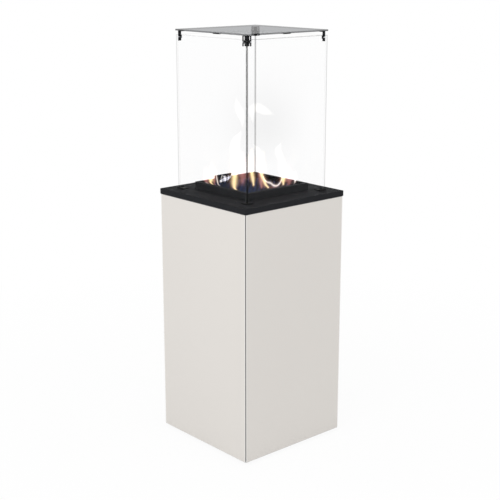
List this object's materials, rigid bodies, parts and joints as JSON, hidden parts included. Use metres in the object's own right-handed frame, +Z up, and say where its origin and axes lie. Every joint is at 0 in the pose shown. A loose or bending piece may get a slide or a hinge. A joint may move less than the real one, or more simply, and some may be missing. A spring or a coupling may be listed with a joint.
{
  "type": "lantern gas heater",
  "caption": "Free-standing gas heater: square column clad in pale lacquered glass, black slab with raised burner, open flame inside a clear glass lantern with a tinted top plate.",
  "frame": {"origin": "middle of the footprint on the floor, under the four levelling feet", "axes": "+Z up; -Y is the front and -X the left side, the two faces that the picture shows; +Y is the rear with the service door"},
  "size_m": [0.412, 0.412, 1.313],
  "materials": {
    "lacquered_glass": "glass lacquered behind, warm off-white, glossy, opaque",
    "clear_glass": "clear float glass with ground edges",
    "tinted_glass": "grey tinted glass",
    "black_steel": "black powder coat, fine satin",
    "grey_steel": "grey primed sheet steel",
    "stainless": "stainless steel, tinted by heat",
    "zinc_steel": "zinc-plated steel",
    "brass": "machined brass",
    "copper": "drawn copper pipe",
    "cast_alloy": "die-cast alloy",
    "ceramic": "white glazed ceramic",
    "black_plastic": "black moulded plastic",
    "red_plastic": "red moulded plastic",
    "hose_rubber": "orange gas hose",
    "silicone": "red-brown silicone sleeve",
    "cylinder_paint": "grey enamel on steel",
    "nylon": "natural nylon"
  },
  "bodies": {
    "root": {"floor_tray": "grey_steel", "corner_post_front_left": "grey_steel", "corner_post_front_right": "grey_steel", "corner_post_rear_left": "grey_steel", "corner_post_rear_right": "grey_steel", "top_frame": "grey_steel", "panel_front": "lacquered_glass", "panel_left": "lacquered_glass", "panel_right": "lacquered_glass", "door_pivot_pins": "zinc_steel", "door_magnet": "black_plastic", "foot_nuts": "zinc_steel", "top_slab": "black_steel", "burner_plinth": "black_steel", "burner_box": "stainless", "burner_spacers": "stainless", "burner_tray": "stainless", "burner_plate": "stainless", "venturi_tube": "stainless", "injector": "brass", "injector_bracket": "stainless", "pilot_bracket": "black_steel", "pilot_burner": "stainless", "electrode_insulator": "ceramic", "electrode_rod": "stainless", "thermocouple": "copper", "control_bracket": "grey_steel", "gas_valve": "cast_alloy", "igniter_body": "black_plastic", "main_gas_pipe": "copper", "pilot_pipe": "copper", "ignition_lead": "silicone", "gas_cylinder": "cylinder_paint", "cylinder_foot_ring": "cylinder_paint", "cylinder_collar": "cylinder_paint", "cylinder_valve": "brass", "union_nut": "brass", "regulator": "cast_alloy", "gas_hose": "hose_rubber", "pane_front": "clear_glass", "pane_back": "clear_glass", "pane_left": "clear_glass", "pane_right": "clear_glass", "pane_feet": "black_plastic", "corner_brackets": "black_steel", "bracket_screws": "zinc_steel", "top_plate": "tinted_glass", "edge_clips": "black_steel"},
    "door": {"door_glass": "lacquered_glass", "door_tray": "grey_steel", "door_bushes": "nylon", "strike_plate": "zinc_steel"},
    "spindle": {"valve_spindle": "zinc_steel"},
    "knob": {"knob": "black_plastic"},
    "igniter_button": {"igniter_button": "red_plastic"},
    "handwheel": {"handwheel": "black_plastic"},
    "foot_front_left": {"levelling_foot_front_left": "black_plastic"},
    "foot_front_right": {"levelling_foot_front_right": "black_plastic"},
    "foot_rear_left": {"levelling_foot_rear_left": "black_plastic"},
    "foot_rear_right": {"levelling_foot_rear_right": "black_plastic"}
  },
  "joints": [
    {"name": "door_hinge", "type": "hinge", "parent": "root", "child": "door", "pos_m": [0.16783, 0.19225, 0.0155], "axis": [0, 0, -1], "range_deg": [0, 110]},
    {"name": "tap_turn", "type": "hinge", "parent": "root", "child": "spindle", "pos_m": [0.05, 0.15, 0.69], "axis": [0, 1, 0], "range_deg": [0, 180]},
    {"name": "knob_push", "type": "slide", "parent": "spindle", "child": "knob", "axis": [0, -1, 0], "range_m": [0, 0.006], "stiffness_N_per_m": 800, "springref_m": -0.004},
    {"name": "igniter_push", "type": "slide", "parent": "root", "child": "igniter_button", "axis": [0, -1, 0], "range_m": [0, 0.006], "stiffness_N_per_m": 900, "springref_m": -0.004},
    {"name": "handwheel_turn", "type": "hinge", "parent": "root", "child": "handwheel", "pos_m": [0, -0.02, 0.5515], "axis": [0, 0, 1], "range_deg": [0, 540]},
    {"name": "foot_front_left_height", "type": "slide", "parent": "root", "child": "foot_front_left", "axis": [0, 0, -1], "range_m": [0, 0.01]},
    {"name": "foot_front_right_height", "type": "slide", "parent": "root", "child": "foot_front_right", "axis": [0, 0, -1], "range_m": [0, 0.01]},
    {"name": "foot_rear_left_height", "type": "slide", "parent": "root", "child": "foot_rear_left", "axis": [0, 0, -1], "range_m": [0, 0.01]},
    {"name": "foot_rear_right_height", "type": "slide", "parent": "root", "child": "foot_rear_right", "axis": [0, 0, -1], "range_m": [0, 0.01]}
  ]
}
